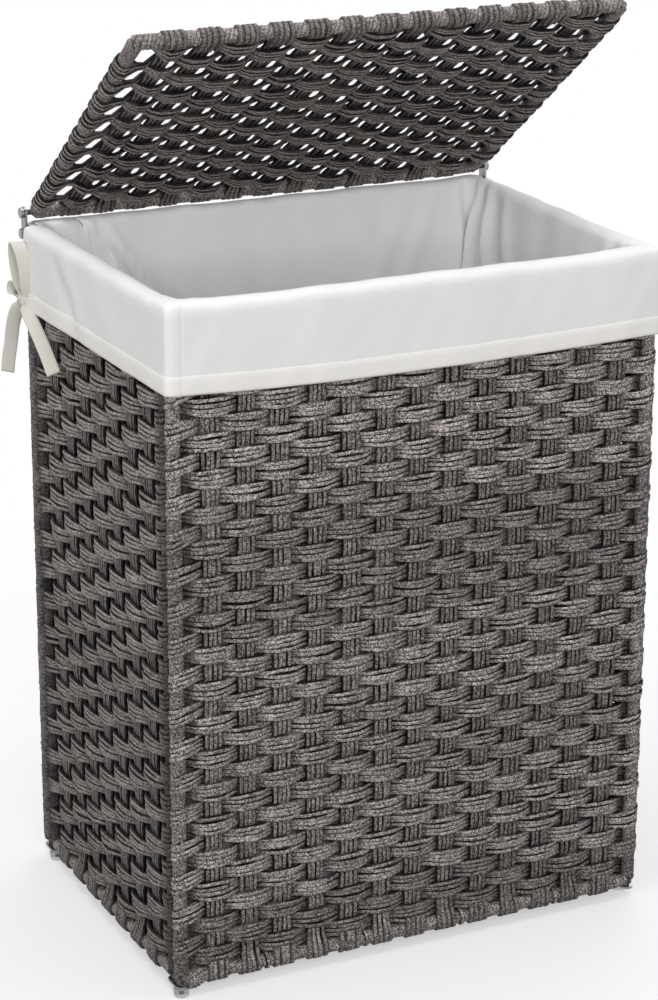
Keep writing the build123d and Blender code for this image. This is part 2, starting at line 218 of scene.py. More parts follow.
class StrandMesh:
    """Round strands gathered into one mesh, each with its tone, painted shade included, and its own length
    along it.
    """

    def __init__(self):
        self.points, self.quads, self.maps = [], [], []
        self.tones, self.groove_shades = [], []
        self.count = 0

    def add(self, path, reference, width, thickness, tone, groove=1.0):
        """A strand along a path, with its width along the reference direction.

        The groove is how dark the painted shade lines beside it are.
        """
        rings = len(path)
        tangent = unit(np.gradient(path, axis=0))
        across = unit(reference - tangent * (reference * tangent).sum(1)[:, None])
        third = np.cross(tangent, across)
        angle = 2 * pi * np.arange(SIDES) / SIDES
        wide = across[:, None] * np.cos(angle)[:, None] * width / 2
        thick = third[:, None] * np.sin(angle)[:, None] * thickness / 2
        self.points.append((path[:, None] + wide + thick).reshape(-1, 3))
        self.tones.append(np.repeat(np.broadcast_to(tone, (rings,)), SIDES))
        self.groove_shades.append(np.repeat(np.broadcast_to(groove, (rings,)), SIDES))
        tube = tube_quads(rings, SIDES).reshape(-1, 4)
        caps = np.array([[3, 2, 1, 0], [5, 4, 3, 0], [0, 1, 2, 3], [0, 3, 4, 5]])
        caps[2:] += (rings - 1) * SIDES
        self.quads.append(np.vstack([tube, caps]) + self.count)
        self.count += rings * SIDES
        steps = np.linalg.norm(np.diff(path, axis=0), axis=1)
        length = np.concatenate([[0], np.cumsum(steps)]) + random.uniform(0, 5)
        u = length[tube // SIDES]
        v = (tube[:, :1] % SIDES + np.array([0, 1, 1, 0])) / SIDES
        tube_map = np.stack([u, v], -1).reshape(-1, 2)
        cap_map = np.tile([[length[0], 0.5]], (16, 1))
        self.maps.append(np.vstack([tube_map, cap_map]))

    def build(self, name):
        """The mesh object, with its tone, painted groove shade and strand map."""
        piece = mesh_of(name, np.concatenate(self.points), np.concatenate(self.quads))
        layer = piece.data.uv_layers.new(name="strand")
        layer.data.foreach_set("uv", np.concatenate(self.maps).astype(np.float32).ravel())
        for key, values in (("tone", self.tones), ("groove", self.groove_shades)):
            layer = piece.data.attributes.new(key, "FLOAT", "POINT")
            layer.data.foreach_set("value", np.concatenate(values).astype(np.float32))
        return piece


# Materials


class Nodes:
    """The node tree of a new material or world, with short calls for its nodes."""

    def __init__(self, name, kind=bpy.data.materials):
        self.owner = kind.new(name)
        self.owner.use_nodes = True
        self.tree = self.owner.node_tree
        self.shader = self.tree.nodes.get("Principled BSDF")

    def put(self, kind, values=(), **settings):
        """A node with its settings, and values or links on its numbered or named inputs."""
        node = self.tree.nodes.new(kind)
        for key, value in settings.items():
            setattr(node, key, value)
        for socket, value in dict(values).items():
            self.set(node, socket, value)
        return node

    def set(self, node, socket, value):
        """A value, or a link from another node's output, on one input."""
        if isinstance(value, bpy.types.NodeSocket):
            self.tree.links.new(value, node.inputs[socket])
        else:
            node.inputs[socket].default_value = value

    def math(self, operation, a, b=0.0):
        return self.put("ShaderNodeMath", {0: a, 1: b}, operation=operation).outputs[0]

    def noise(self, vector, scale, detail, roughness):
        values = {"Vector": vector, "Scale": scale, "Detail": detail, "Roughness": roughness}
        return self.put("ShaderNodeTexNoise", values).outputs["Fac"]

    def between(self, value, low, high, to_low, to_high):
        values = {0: value, 1: low, 2: high, 3: to_low, 4: to_high}
        return self.put("ShaderNodeMapRange", values).outputs[0]

    def mix(self, factor, a, b):
        return self.put("ShaderNodeMix", {0: factor, 6: a, 7: b}, data_type="RGBA").outputs[2]

    def bump(self, height, strength, distance):
        values = {"Height": height, "Strength": strength, "Distance": distance}
        return self.put("ShaderNodeBump", values).outputs["Normal"]

    def place(self):
        return self.put("ShaderNodeTexCoord").outputs["Object"]

    def finish(self, values):
        """Values or links on the surface shader, and then the material."""
        for socket, value in values.items():
            self.set(self.shader, socket, value)
        return self.owner

    def seen(self):
        """One for rays from the camera, a reflection or clear plastic, otherwise zero."""
        path = self.put("ShaderNodeLightPath").outputs
        seen = self.math("MAXIMUM", path["Is Camera Ray"], path["Is Glossy Ray"])
        return self.math("MAXIMUM", seen, path["Is Transmission Ray"])


def strand_material(name, light, specks, line_start, faint_line):
    """Dull strand of twisted fibres, mottled light and dark grey, with its own tone in each skein.

    The lower and upper bound of specks set how many there are and how sharp; the dark lines along the strand
    are painted shade of the grooves between strands: they start at line_start across it, and faint_line is
    how dark they stay at least.
    """
    n = Nodes(name)
    place = n.place()
    tone = n.put("ShaderNodeAttribute", attribute_name="tone").outputs["Fac"]
    along = n.put("ShaderNodeSeparateXYZ", {0: n.put("ShaderNodeUVMap", uv_map="strand").outputs[0]})
    cell = n.put("ShaderNodeTexVoronoi", {"Vector": place, "Scale": 1000.0}).outputs["Color"]
    speck = n.put("ShaderNodeSeparateColor", {0: cell}).outputs[0]
    speck = n.between(speck, specks[0], specks[1], 0.0, 0.9)
    fleck = n.between(n.noise(place, 900.0, 2.0, 0.65), 0.36, 0.66, 0.0, 0.12)
    fleck = n.math("ADD", speck, fleck)
    streak = n.put("ShaderNodeCombineXYZ", {0: n.math("MULTIPLY", along.outputs["X"], 80.0)})
    n.set(streak, 1, n.math("MULTIPLY", along.outputs["Y"], 9.0))
    streak = n.between(n.noise(streak.outputs[0], 1.0, 2.0, 0.6), 0.3, 0.7, -0.09, 0.09)
    fleck = n.math("ADD", fleck, streak)
    patch = n.noise(place, 90.0, 2.0, 0.55)
    dark = (0.048, 0.044, 0.042, 1)
    grey = n.mix(fleck, dark, light)
    shade = n.math("MULTIPLY", tone, n.between(patch, 0.3, 0.7, 0.92, 1.08))
    # painted shade: dark lines along the strand's sides, in the grooves between strands
    edge = n.math("ABSOLUTE", n.math("COSINE", n.math("MULTIPLY", along.outputs["Y"], 2 * pi)))
    edge = n.between(edge, line_start, line_start + 0.16, 0.0, 1.0)
    depth = n.between(n.noise(place, 44.0, 2.0, 0.6), 0.36, 0.54, faint_line, 1.0)
    groove = n.put("ShaderNodeAttribute", attribute_name="groove").outputs["Fac"]
    line = n.math("MULTIPLY", n.math("MULTIPLY", edge, depth), groove)
    shade = n.math("MULTIPLY", shade, n.math("SUBTRACT", 1.0, line))
    colour = n.put("ShaderNodeVectorMath", {0: grey, "Scale": shade}, operation="SCALE")
    turns = n.math("ADD", n.math("MULTIPLY", along.outputs["X"], 1 / TWIST), along.outputs["Y"])
    ply = n.math("SINE", n.math("MULTIPLY", turns, 4 * pi))
    height = n.math("ADD", n.math("MULTIPLY", ply, 0.35), fleck)
    return n.finish({"Base Color": colour.outputs[0], "Normal": n.bump(height, 0.6, 0.35 * MM),
                     "Roughness": 0.72, "Specular IOR Level": 0.22})


def cloth_material(name, colour, thread, crease):
    """Plain woven cotton: fine threads, faint unevenness and soft small creases."""
    n = Nodes(name)
    place = n.place()
    uneven = n.between(n.noise(place, 14.0, 3.0, 0.55), 0.3, 0.7, -0.02, 0.02)
    slub = n.between(n.noise(place, 420.0, 2.0, 0.6), 0.3, 0.7, 0.985, 1.01)
    shade = n.math("ADD", uneven, slub)
    tint = n.put("ShaderNodeVectorMath", {0: colour[:3], "Scale": shade}, operation="SCALE")
    bands = {"Vector": place, "Scale": 1 / thread}
    across, back, up = (n.put("ShaderNodeTexWave", bands, bands_direction=way) for way in "XYZ")
    threads = n.math("ADD", back.outputs["Fac"], up.outputs["Fac"])
    threads = n.math("ADD", across.outputs["Fac"], threads)
    folds = n.noise(place, 38.0, 3.0, 0.5)
    fine = n.bump(threads, 0.14, 0.12 * MM)
    coarse = {"Height": folds, "Strength": crease, "Distance": 4 * MM, "Normal": fine}
    normal = n.put("ShaderNodeBump", coarse).outputs["Normal"]
    return n.finish({"Base Color": tint.outputs[0], "Normal": normal, "Roughness": 0.88,
                     "Specular IOR Level": 0.2, "Sheen Weight": 0.04, "Sheen Roughness": 0.5})


def steel_material():
    """Galvanised sheet: pale grey with soft patches and fine scratches."""
    n = Nodes("steel")
    place = n.place()
    patch = n.noise(place, 220.0, 3.0, 0.6)
    colour = n.mix(patch, (0.19, 0.19, 0.19, 1), (0.38, 0.38, 0.37, 1))
    rough = n.between(patch, 0.3, 0.7, 0.28, 0.46)
    scratches = n.bump(n.noise(place, 900.0, 2.0, 0.5), 0.2, 0.1 * MM)
    return n.finish({"Base Color": colour, "Roughness": rough, "Normal": scratches, "Metallic": 1.0})


def wire_material():
    """Dark painted wire, a little chipped."""
    n = Nodes("wire")
    place = n.place()
    chip = n.between(n.noise(place, 500.0, 3.0, 0.6), 0.62, 0.70, 0.0, 1.0)
    colour = n.mix(chip, (0.045, 0.044, 0.043, 1), (0.16, 0.155, 0.15, 1))
    rough = n.between(chip, 0.0, 1.0, 0.42, 0.6)
    grain = n.bump(n.noise(place, 700.0, 2.0, 0.5), 0.2, 0.1 * MM)
    return n.finish({"Base Color": colour, "Roughness": rough, "Normal": grain})


def plastic_material():
    """Clear moulded plastic, slightly frosted."""
    n = Nodes("clear_plastic")
    haze = n.noise(n.place(), 160.0, 2.0, 0.5)
    colour = n.mix(haze, (0.36, 0.37, 0.37, 1), (0.62, 0.62, 0.61, 1))
    rough = n.between(haze, 0.3, 0.7, 0.12, 0.24)
    return n.finish({"Base Color": colour, "Roughness": rough, "Transmission Weight": 0.85, "IOR": 1.49})


strand = strand_material("strand", (0.745, 0.667, 0.636, 1), (0.22, 1.0), 0.50, 0.5)
# painted shade: a darker copy of the strand with softer specks and darker lines, for the walls that get less
# light
shaded_strand = strand_material("strand_shaded", (0.57, 0.505, 0.48, 1), (0.0, 1.0), 0.45, 0.8)
cotton = cloth_material("cotton", (0.885, 0.879, 0.871, 1), 0.9 * MM, 0.13)
tape = cloth_material("hem_tape", (0.92, 0.898, 0.860, 1), 0.7 * MM, 0.12)
ribbon_cloth = cloth_material("ribbon", (0.66, 0.635, 0.580, 1), 0.7 * MM, 0.15)
steel = steel_material()
wire = wire_material()
clear_plastic = plastic_material()


# Woven panels


@dataclass
class Panel:
    """A woven panel: its middle at the lower edge, its directions, its size and its weave."""

    name: str
    body: str
    origin: np.ndarray
    right: np.ndarray
    up: np.ndarray
    width: float
    height: float
    stakes: int
    skeins: tuple
    material: object = shaded_strand
    pairing: float = 5.0  # how late a weaver leaves its row towards a stile
    dive_spread: float = 2.5 * MM  # strand to strand where a weaver passes between stakes
    twisted: bool = False  # whether two rows are twisted together beside the left stile
    pinch: float = 0.0  # how far a weaver is drawn together there
    fan: float = 4.2 * MM  # strand to strand round a stile
    turn_radius: float = 5.4 * MM  # middle of a strand that turns round a stile
    wound_radius: float = 4.8 * MM  # middle of the strand that is wound round the wire
    low_loop: float = 6.8 * MM  # middle of a strand that loops round the lower rail
    high_loop: float = 5.4 * MM  # the same at the upper rail
    density: float = 1.0  # of the strands in a weaver
    recess_shade: float = 0.78  # painted shade, as a loss of tone, where a strand lies deep in the weave
    corner_coil: float = 0.0  # how much thicker the winding is at the left end of the lower rail
    wound_tone: float = 0.8  # of the strand wound on the stiles, against the rows beside it
    dark_end: int = 0  # the side, right or left, that is hidden behind another panel's stile; it and the other end get painted shade
    swing: float = 1.0  # of the weavers, against the usual
    stake_tone: float = 0.8
    flare: float = 0.0  # how much wider the panel is at its upper edge, as a share
    stake_fade: float = 0.0  # painted light and shade: how much darker the stakes are at the right, and lighter at the left

    @property
    def out(self):
        return np.cross(self.right, self.up)

    @property
    def stile(self):
        return self.width / 2 - RIM

    @property
    def rows(self):
        return round((self.height - 2 * FIELD_MARGIN) / ROW_PITCH)

    @property
    def row_pitch(self):
        return (self.height - 2 * FIELD_MARGIN) / self.rows

    def stake_places(self):
        """Distance right of the middle of each stile and stake."""
        return np.linspace(-self.stile, self.stile, self.stakes + 2)

    def row_height(self, row):
        return FIELD_MARGIN + (row + 0.5) * self.row_pitch

    def at(self, x, y, z):
        """Points at distances right, up and out of the panel's plane, with the panel's flare."""
        x, y, z = np.broadcast_arrays(x, y, z)
        x = x * (1 + self.flare * y / self.height)
        return self.origin + x[:, None] * self.right + y[:, None] * self.up + z[:, None] * self.out

    def row_tone(self, place):
        """Tone of the skein in use at a place counted in rows from the bottom."""
        ends = np.cumsum([length for length, tone in self.skeins])
        tones = np.array([tone for length, tone in self.skeins])
        return tones[np.searchsorted(ends, place).clip(0, len(tones) - 1)]

    def skein_tone(self, row, x):
        """Tone of the weaver that runs to and fro up the panel, one skein after another."""
        share = (x + self.stile) / (2 * self.stile)
        return self.row_tone(row + (share if row % 2 == 0 else 1 - share))


def row_share(t, panel, twist):
    """How much of a weaver's way to the next row is left at a share of the distance from the stile."""
    if not twist:
        return (1 - t) ** panel.pairing
    left = np.clip(2 - 2 * t, 0, 1)
    return left**2 * (3 - 2 * left)


def weaver_line(panel, row, rings):
    """A row's line over and under the stakes and round the stiles.

    Gives distances right, up and out, how far a float has risen, strand spacing and painted shade by the
    stiles.
    """
    places = panel.stake_places()
    over = np.array([1 if (index + row) % 2 else -1 for index in range(len(places))])
    swing = np.where(over > 0, SWING_OUT, -SWING_IN) * panel.swing
    swing[[0, -1]] = over[[0, -1]] * panel.turn_radius
    before = over[0] > 0
    half_row = 0.5 * panel.row_pitch
    drift = TURN_DRIFT * panel.row_pitch if before else half_row
    left_drift = half_row if panel.twisted else drift
    rise = np.zeros(len(places))
    rise[0] = -left_drift if before else left_drift
    rise[-1] = drift if before else -drift
    t = np.arange(rings) / rings
    c = np.cos(pi * t)
    line = []
    for index in range(len(places) - 1):
        twist = panel.twisted and index == 0
        ease = c**3 if twist else c * (1.5 - 0.5 * c * c)
        here, there = (1 + ease) / 2, (1 - ease) / 2
        x = places[index] * (1 - t) + places[index + 1] * t
        y = rise[index] * row_share(t, panel, twist) + rise[index + 1] * row_share(1 - t, panel, twist)
        z = swing[index] * here + swing[index + 1] * there
        line.append([x, y, z, np.abs(ease)])
    line.append([places[-1:], rise[-1:], swing[-1:], np.ones(1)])
    x, y, z, crest = np.concatenate(line, axis=1)
    spread = (panel.dive_spread + (FLOAT_SPREAD - panel.dive_spread) * crest) / panel.density
    spread = spread * (1 - panel.pinch * ridge(panel.stile + x, PINCH_PLACE, PINCH_WIDTH))
    stile_share = np.clip(1 - (panel.stile - np.abs(x)) / (places[1] - places[0]), 0, 1) ** 3
    if before:
        spread = spread * (1 - stile_share) + panel.fan * stile_share
        turn = np.linspace(0, pi, 9)[1:]
        climb = drift + (half_row - drift) * turn / pi
        left_climb = left_drift + (half_row - left_drift) * turn / pi
        round_x = panel.turn_radius * np.sin(turn)
        round_z = panel.turn_radius * np.cos(turn)
        x = np.concatenate([-panel.stile - round_x[::-1], x, panel.stile + round_x])
        y = np.concatenate([-left_climb[::-1], y, climb])
        z = np.concatenate([round_z[::-1], z, round_z])
        spread = np.pad(spread, len(turn), constant_values=panel.fan)
        crest = np.pad(crest, len(turn))
    # painted shade where the weave goes behind the next panel's stile, and at a side panel's other end
    hidden = np.clip(1 - (panel.stile - x * panel.dark_end) / HIDDEN_WIDTH, 0, 1)
    rear = np.clip(1 - (panel.stile + x * panel.dark_end) / REAR_WIDTH, 0, 1)
    return x, y, z, crest, spread, 1 - HIDDEN_SHADE * hidden - REAR_SHADE * rear


def weave(panel, rings):
    """The rows of weavers of a panel."""
    mesh = StrandMesh()
    for row in range(panel.rows):
        x, y, z, crest, spread, shade = weaver_line(panel, row, rings)
        sway = soft_noise(len(x), rings, SWAY, random)
        base_tone = panel.skein_tone(row, x) * shade
        for index in range(STRANDS):
            place = index - (STRANDS - 1) / 2
            stray_up = soft_noise(len(x), rings, STRAY_UP, random)
            stray_out = soft_noise(len(x), rings, STRAY_OUT, random)
            ply = (PLY_OUT if index % 2 else -PLY_IN) * (1 - crest)
            crown = -CROWN * place**2 * crest * np.sign(z)
            up = panel.row_height(row) + y + sway + place * spread + stray_up
            tone = base_tone * (1 + random.normal(0, TONE_SPREAD))
            tone = tone * (1 + soft_noise(len(x), rings * 2, 0.04, random))
            # painted shade where the strand dives deep behind a stake
            tone = tone * (1 - panel.recess_shade * np.clip((-DEEP_START - z) / DEEP_REACH, 0, 1))
            path = panel.at(x, up, z + crown + ply + stray_out)
            mesh.add(path, panel.up, STRAND_WIDTH, STRAND_THICKNESS, tone)
    piece = mesh.build(f"{panel.name}_weave")
    return finish_piece(piece, panel.body, "strand", panel.material, f"{panel.name}_weavers")


def rail_loop(before, radius):
    """A stake's way down past the middle of a rail, round it and up again: distances up and out."""
    side = 1 if before else -1
    turn = np.radians(np.linspace(40, -200, 9))
    up = np.concatenate([[LOOP_START], radius * np.sin(turn), [LOOP_START]])
    out = np.concatenate([[LOOP_OUT], radius * np.cos(turn), [-LOOP_BACK]]) * side
    return up, out


def uprights(panel):
    """The stakes of a panel, looped round both rails by turns from the front and from behind."""
    mesh = StrandMesh()
    rows = panel.rows
    for index, x in enumerate(panel.stake_places()[1:-1]):
        heights = panel.row_height(np.arange(0, rows - 0.5, 0.5))
        over = np.where((np.arange(len(heights)) // 2 + index) % 2 == 0, 1, -1)
        middle = -STAKE_SWING * over * (np.arange(len(heights)) % 2 == 0)
        before = index % 2 == 1
        low_up, low_out = rail_loop(before, panel.low_loop)
        high_up, high_out = rail_loop(not before if rows % 2 else before, panel.high_loop)
        up = np.concatenate([(RIM + low_up)[::-1], heights, panel.height - RIM - high_up])
        out = np.concatenate([low_out[::-1], middle, high_out])
        loops = len(low_up)
        spread = np.full(len(up), STAKE_SPREAD)
        spread[: loops - 1] = LOOP_SPREAD
        spread[1 - loops:] = LOOP_SPREAD
        # fainter painted groove shade where the strands loop round a rail
        groove = np.where(spread == LOOP_SPREAD, 0.5, 1.0)
        sway = soft_noise(len(up), 12, STAKE_SWAY, random)
        tone_all = panel.stake_tone * (1 - panel.stake_fade * x / panel.stile) + random.normal(0, 0.03)
        for number in range(STRANDS):
            place = number - (STRANDS - 1) / 2
            stray = soft_noise(len(up), 5, STAKE_STRAY, random)
            stray_out = soft_noise(len(up), 4, STAKE_STRAY_OUT, random)
            across = x + sway + place * spread + stray
            outer = number in (0, STRANDS - 1)
            # painted shade: a stake's outer strands are darker, beside the floats
            tone = tone_all * (1 + random.normal(0, TONE_SPREAD)) * (0.85 if outer else 1)
            path = panel.at(across, up, out + stray_out)
            mesh.add(path, panel.right, STRAND_WIDTH, STRAND_THICKNESS, tone, groove)
    piece = mesh.build(f"{panel.name}_uprights")
    return finish_piece(piece, panel.body, "strand", panel.material, f"{panel.name}_stakes")


def rim_line(panel):
    """Closely spaced points round the middle of a panel's wire frame, in the panel's plane."""
    a = panel.stile - WINDING_CORNER
    low = RIM + WINDING_CORNER
    high = panel.height - RIM - WINDING_CORNER
    turn = np.linspace(0, pi / 2, 9)
    points = []
    for x, y, start in ((a, low, -pi / 2), (a, high, 0), (-a, high, pi / 2), (-a, low, pi)):
        angle = start + turn
        points.append(np.stack([x + WINDING_CORNER * np.cos(angle), y + WINDING_CORNER * np.sin(angle)], -1))
    return np.vstack(points + [points[0][:1]])


def winding(panel, segments=8):
    """Strand wound closely round the wires of a panel's frame."""
    corners = rim_line(panel)
    steps = np.linalg.norm(np.diff(corners, axis=0), axis=1)
    length = np.concatenate([[0], np.cumsum(steps)])
    turns = round(length[-1] / WINDING_PITCH)
    angle = np.arange(turns * segments + 1) * 2 * pi / segments
    along = angle / (2 * pi) * length[-1] / turns + WINDING_LEAN * np.cos(angle)
    along = along.clip(0, length[-1])

    def on_rim(places):
        """Points of the rim line at distances along it."""
        return np.stack([np.interp(places, length, way) for way in corners.T], -1)

    x, y = on_rim(along).T
    heading = unit(on_rim(along + MM) - on_rim(along - MM))
    radius = panel.wound_radius + soft_noise(len(angle), 6 * segments, WINDING_SLACK, random)
    radius = radius + soft_noise(len(angle), segments // 2, WINDING_STRAY, random)
    coil = panel.corner_coil * ridge(x, -panel.stile + COIL_PLACE, COIL_WIDTH) * (y < 2 * RIM)
    radius = radius + coil
    side = radius * np.sin(angle)
    path = panel.at(x + heading[:, 1] * side, y - heading[:, 0] * side - coil, radius * np.cos(angle))
    reference = heading[:, :1] * panel.right + heading[:, 1:] * panel.up
    on_stile = np.abs(x) > panel.stile - WINDING_CORNER
    stile_tone = panel.wound_tone * panel.row_tone((y - FIELD_MARGIN) / panel.row_pitch)
    # painted shade: the side panels' stiles are darker, where they lie in the corners
    stile_tone = stile_tone * (0.45 if panel.dark_end else 1)
    tone = np.where(on_stile, stile_tone, RAIL_TONE)
    tone = tone + soft_noise(len(angle), 9 * segments, 0.05, random)
    tone = tone + soft_noise(len(angle), segments, 0.04, random)
    mesh = StrandMesh()
    # painted groove shade between the turns, faint on the stiles
    mesh.add(path, reference, STRAND_WIDTH, STRAND_THICKNESS, tone, np.where(on_stile, 0.15, 0.5))
    piece = mesh.build(f"{panel.name}_winding")
    return finish_piece(piece, panel.body, "strand", panel.material, f"{panel.name}_wrap")


# Tones of the skeins, from the bottom row up: how many rows each lasts, and how light it is
front_skeins = ((2.7, 0.64), (6.4, 0.98), (4.6, 0.86), (5.2, 1.0), (7.6, 0.74), (20.0, 1.10))
left_skeins = ((3.4, 0.72), (7.5, 0.84), (6.3, 0.78), (8.1, 0.97), (20.0, 0.98))
other_skeins = ((5.2, 0.88), (8.4, 1.0), (6.7, 0.82), (9.3, 0.96), (20.0, 0.9))
lid_skeins = ((6.3, 0.93), (7.4, 0.85), (20.0, 0.91))


def wall(name, right, stakes, skeins, **looks):
    """A wall panel where its solid stands."""
    low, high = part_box(f"{name}_wrap")
    middle = (low + high) / 2
    right = np.array(right, float)
    width = abs(right @ np.array(high - low))
    origin = np.array([middle.x, middle.y, low.z])
    return Panel(name, "basket", origin, right, np.array([0, 0, 1.0]), width, high.z - low.z, stakes, skeins,
                 **looks)


front = wall("front", (1, 0, 0), 13, front_skeins, material=strand, dive_spread=3.2 * MM, wound_tone=0.68,
             stake_tone=0.66, stake_fade=0.22, corner_coil=2.4 * MM)
back = wall("back", (-1, 0, 0), 13, other_skeins, wound_radius=5.6 * MM, wound_tone=0.55)
side_looks = {"recess_shade": 0.9, "wound_tone": 0.6, "wound_radius": 3.9 * MM, "turn_radius": 4.6 * MM,
              "stake_tone": 0.6, "swing": 1.15}
left = wall("left", (0, -1, 0), 7, left_skeins, dark_end=1, **side_looks)
right = wall("right", (0, 1, 0), 7, other_skeins, dark_end=-1, **side_looks)

base_low, base_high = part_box("base_wrap")
base = Panel(
    "base", "basket",
    np.array([0, base_low.y, (base_low.z + base_high.z) / 2]),
    np.array([1.0, 0, 0]), np.array([0, 1.0, 0]),
    base_high.x - base_low.x, base_high.y - base_low.y, 13, other_skeins,
    low_loop=5.4 * MM,
)

body_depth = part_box("back_wrap")[1].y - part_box("front_wrap")[0].y
lid_low, lid_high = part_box("lid_wrap")
hinge = np.array(frame["joints"][0]["pos_m"])
lid_up = np.array([0, -cos(LID_ANGLE), sin(LID_ANGLE)])
lid = Panel(
    "lid", "lid", hinge - lid_up * RIM, np.array([1.0, 0, 0]), lid_up,
    lid_high.x - lid_low.x, body_depth, 13, lid_skeins, twisted=True, pinch=0.65, pairing=1.5,
    fan=6 * MM, turn_radius=6.6 * MM, low_loop=5.6 * MM, high_loop=6.5 * MM, density=0.94, recess_shade=0.85,
    stake_tone=0.62, swing=1.45, flare=0.02,
)

for panel in (front, back, left, right, base, lid):
    weave(panel, 4 if panel.name in ("base", "back") else 5)
    uprights(panel)
    winding(panel)


# Strand tied round the base's rail and the wall's bottom rail


def lashings():
    """Two turns of strand at each tie, round both rails."""
    low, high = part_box("base_lashings")
    mesh = StrandMesh()
    ties = 4
    tie_width = 5 * MM
    spacing = (high.x - low.x - tie_width) / (ties - 1)
    base_rail = base_high.y - RIM
    wall_rail = high.y - (high.z - low.z) / 2
    radius = (high.z - low.z) / 2 - STRAND / 2
    middle_z = (low.z + high.z) / 2
    turn = np.linspace(0, 2 * pi, 25)[:-1]
    angle = np.concatenate([turn, turn + 2 * pi])
    for side in (-1, 1):
        for index in range(ties):
            start = low.x + STRAND / 2 + index * spacing
            x = start + angle / (4 * pi) * (tie_width - STRAND)
            reach = np.where(np.cos(angle) > 0, wall_rail, base_rail)
            y = side * (reach + radius * np.cos(angle))
            z = middle_z + radius * np.sin(angle)
            mesh.add(np.stack([x, y, z], -1), np.array([1.0, 0, 0]), STRAND, STRAND, 0.9)
    piece = mesh.build("lashing_strands")
    return finish_piece(piece, "basket", "strand", strand, "base_lashings")


lashings()


# Liner

bag_low, bag_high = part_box("liner_bag")
hem_low, hem_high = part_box("liner_hem")
cuff_half = np.array([hem_high.x, hem_high.y]) - HEM_CLOTH + CLOTH_EASE
bag_half = np.array([base_high.x, base_high.y]) - CLOTH_EASE
FOLD_TOP = bag_high.z
CUFF_BOTTOM = hem_low.z
BAG_FLOOR = bag_low.z


def side_shares(count, length, extra):
    """Shares along a straight side, closer together near its ends and at the extra ones."""
    ends = np.arange(2, 38, 2) * MM / length
    return np.unique(np.concatenate([np.linspace(0, 1, count), extra, ends, 1 - ends]))


front_length = 0.45  # roughly
seam_share = 0.0174
seam_shares = seam_share + np.array([-6, -3, -1.6, -0.8, 0, 0.8, 1.6, 3, 6]) * MM / front_length
long_shares = side_shares(84, 2 * bag_half[0], seam_shares)
short_shares = side_shares(64, 2 * bag_half[1], [])
corner_turns = np.linspace(0, pi / 2, 9)[1:-1]


def loop(half, radius):
    """Points and outward directions round a rectangle with rounded corners, from the front left."""
    straight = half - radius
    points, ways = [], []
    for number, (x, y) in enumerate(((0, -1), (1, 0), (0, 1), (-1, 0))):
        shares = short_shares if x else long_shares
        way = np.array([x, y], float)
        along = straight * np.array([-y, x])
        points.append(half * way - along + shares[:, None] * 2 * along)
        ways.append(np.tile(way, (len(shares), 1)))
        angle = corner_turns - pi / 2 + number * pi / 2
        turn = np.stack([np.cos(angle), np.sin(angle)], -1)
        points.append(straight * way + along + radius * turn)
        ways.append(turn)
    return np.concatenate(points), np.concatenate(ways)


bag_loop, bag_way = loop(bag_half, BAG_CORNER)
cuff_loop, cuff_way = loop(cuff_half, CUFF_CORNER)
columns = len(bag_loop)
girth = np.concatenate([[0], np.cumsum(np.linalg.norm(np.diff(cuff_loop, axis=0), axis=1))])
at_front = cuff_way[:, 1] < -0.99
at_side = np.abs(cuff_way[:, 0]) > 0.99
in_slit = (cuff_loop[:, 1] > SLIT_FRONT) & (np.abs(cuff_loop[:, 0]) > SLIT_SIDE)


def cuff_hang():
    """How far the cuff's lower edge sags below its level, most in the middle of the front."""
    share = (cuff_loop[:, 0] / cuff_half[0] + 1) / 2
    corner = ridge(np.abs(side_place("front_left")), 0, 60 * MM)
    return np.where(at_front, CUFF_SAG * np.sin(pi * share), 0) - CORNER_LIFT * corner


def waves(place, lengths, seed):
    """A few sine waves of given lengths, added with random phases, about -1 to 1."""
    phases = np.random.default_rng(seed).uniform(0, 2 * pi, len(lengths))
    total = sum(np.sin(2 * pi * place / length + phase) for length, phase in zip(lengths, phases))
    return total / len(lengths)


def rim_rise():
    """Slow ups and downs of the cloth along the rim."""
    return RIM_WAVE * waves(girth, (0.23, 0.097, 0.061), 12)


def side_place(name):
    """Distance along the girth from a corner of the bag, negative on the side before it."""
    corner = np.array([1 if "right" in name else -1, 1 if "back" in name else -1])
    nearest = np.argmin(np.linalg.norm(cuff_loop - cuff_half * corner, axis=1))
    place = girth - girth[nearest]
    total = girth[-1]
    return (place + total / 2) % total - total / 2


def bag_slack(depth):
    """How far the bag's wall hangs inwards at a depth below the rim."""
    grow = np.clip(depth / 0.16, 0, 1) ** 0.8
    drift = 14 * MM * waves(np.full(1, depth), (0.31, 0.17), 5)
    folds = waves(girth + drift, (0.128, 0.083, 0.052), 3) + 1
    slack = folds * (0.5 + 2.6 * grow) * MM + BAG_HANG * np.clip(depth / 0.05, 0, 1)
    fade = np.exp(-depth / 0.22) * np.clip(depth / 0.03, 0, 1)
    pull = CORNER_PULL * np.clip(depth / 0.11, 0, 1)
    for corner, pleats in corner_pleats.items():
        place = side_place(corner)
        slack = slack + pull * ridge(place, 0, 34 * MM)
        for middle, width, size, lean in pleats:
            line = middle * MM + lean * depth
            slack = slack + size * MM * (0.2 * grow + 0.8 * fade) * ridge(place, line, width * MM)
    return slack


